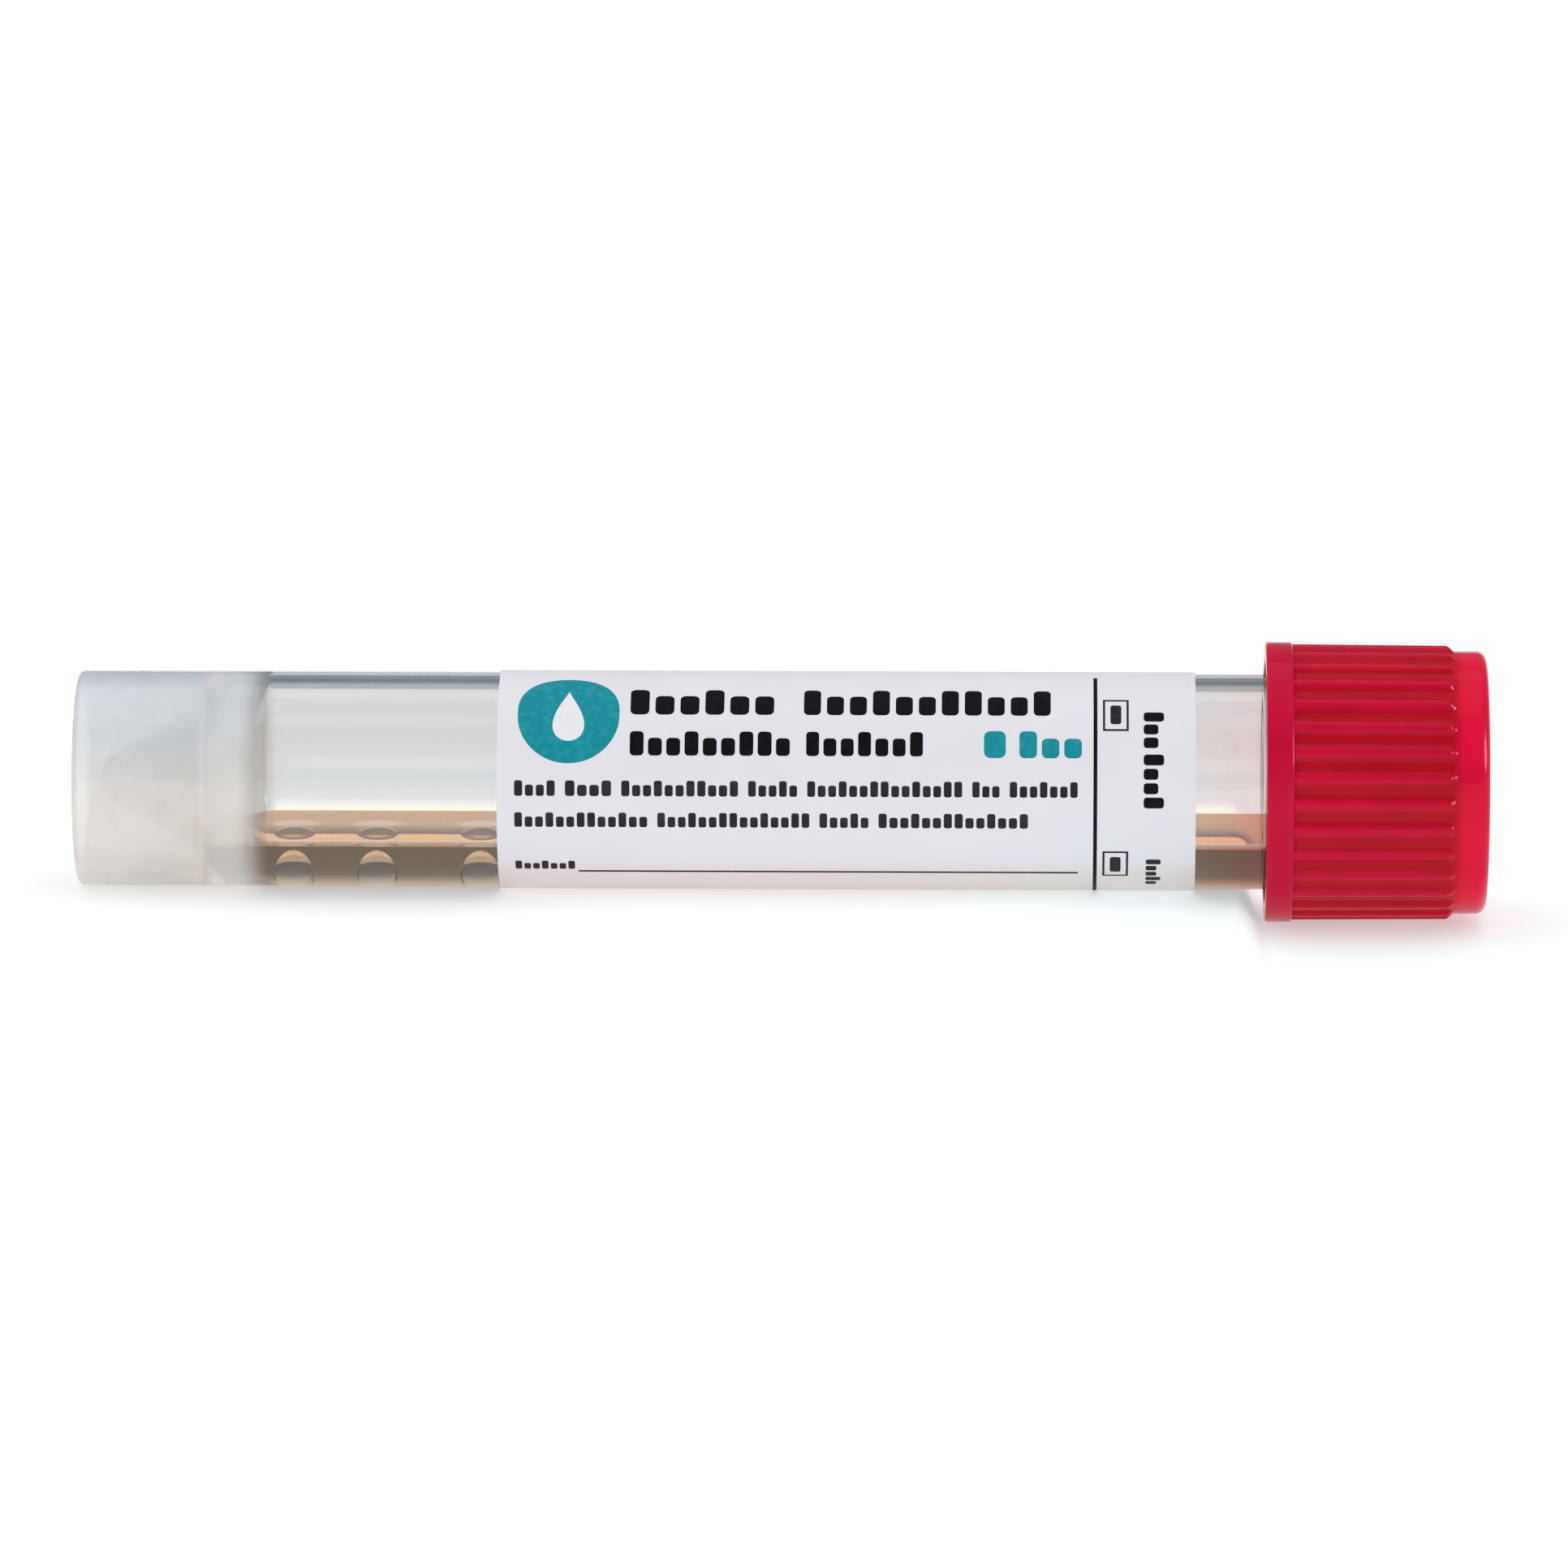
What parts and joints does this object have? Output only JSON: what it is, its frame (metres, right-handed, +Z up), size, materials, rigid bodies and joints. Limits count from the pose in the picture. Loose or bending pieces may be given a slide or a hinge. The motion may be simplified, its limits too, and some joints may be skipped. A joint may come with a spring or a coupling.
{
  "type": "specimen swab tube",
  "caption": "Clear self-standing specimen tube with a conical floor, a red ribbed screw cap, a white label, and a little pink-amber medium with small glass beads inside.",
  "frame": {"origin": "centre of the skirt's standing edge, on the tube's axis", "axes": "+X along the tube from the skirt to the cap, +Z up as it lies on its side, with the liquid at low Z"},
  "size_m": [0.1045, 0.0208, 0.0208],
  "materials": {
    "clear_plastic": "gloss",
    "red_plastic": "satin",
    "seal_rubber": "matte",
    "label_paper": "matte",
    "medium": "gloss",
    "bead_glass": "gloss"
  },
  "bodies": {
    "tube_body": {"tube": "clear_plastic", "label": "label_paper", "transport_medium": "medium", "glass_bead_1": "bead_glass", "glass_bead_2": "bead_glass", "glass_bead_3": "bead_glass"},
    "seal_body": {"cap_seal_ring": "seal_rubber"},
    "cap_body": {"screw_cap": "red_plastic"}
  },
  "joints": [
    {"name": "cap_lift", "type": "slide", "parent": "tube_body", "child": "seal_body", "axis": [1, 0, 0], "range_m": [0, 0.006]},
    {"name": "cap_turn", "type": "hinge", "parent": "seal_body", "child": "cap_body", "pos_m": [0.1045, 0, 0], "axis": [1, 0, 0], "range_deg": [0, 720]}
  ],
  "couplings": [
    {"joint": "cap_lift", "follows": "cap_turn", "m_per_rad": 0.00047746}
  ]
}
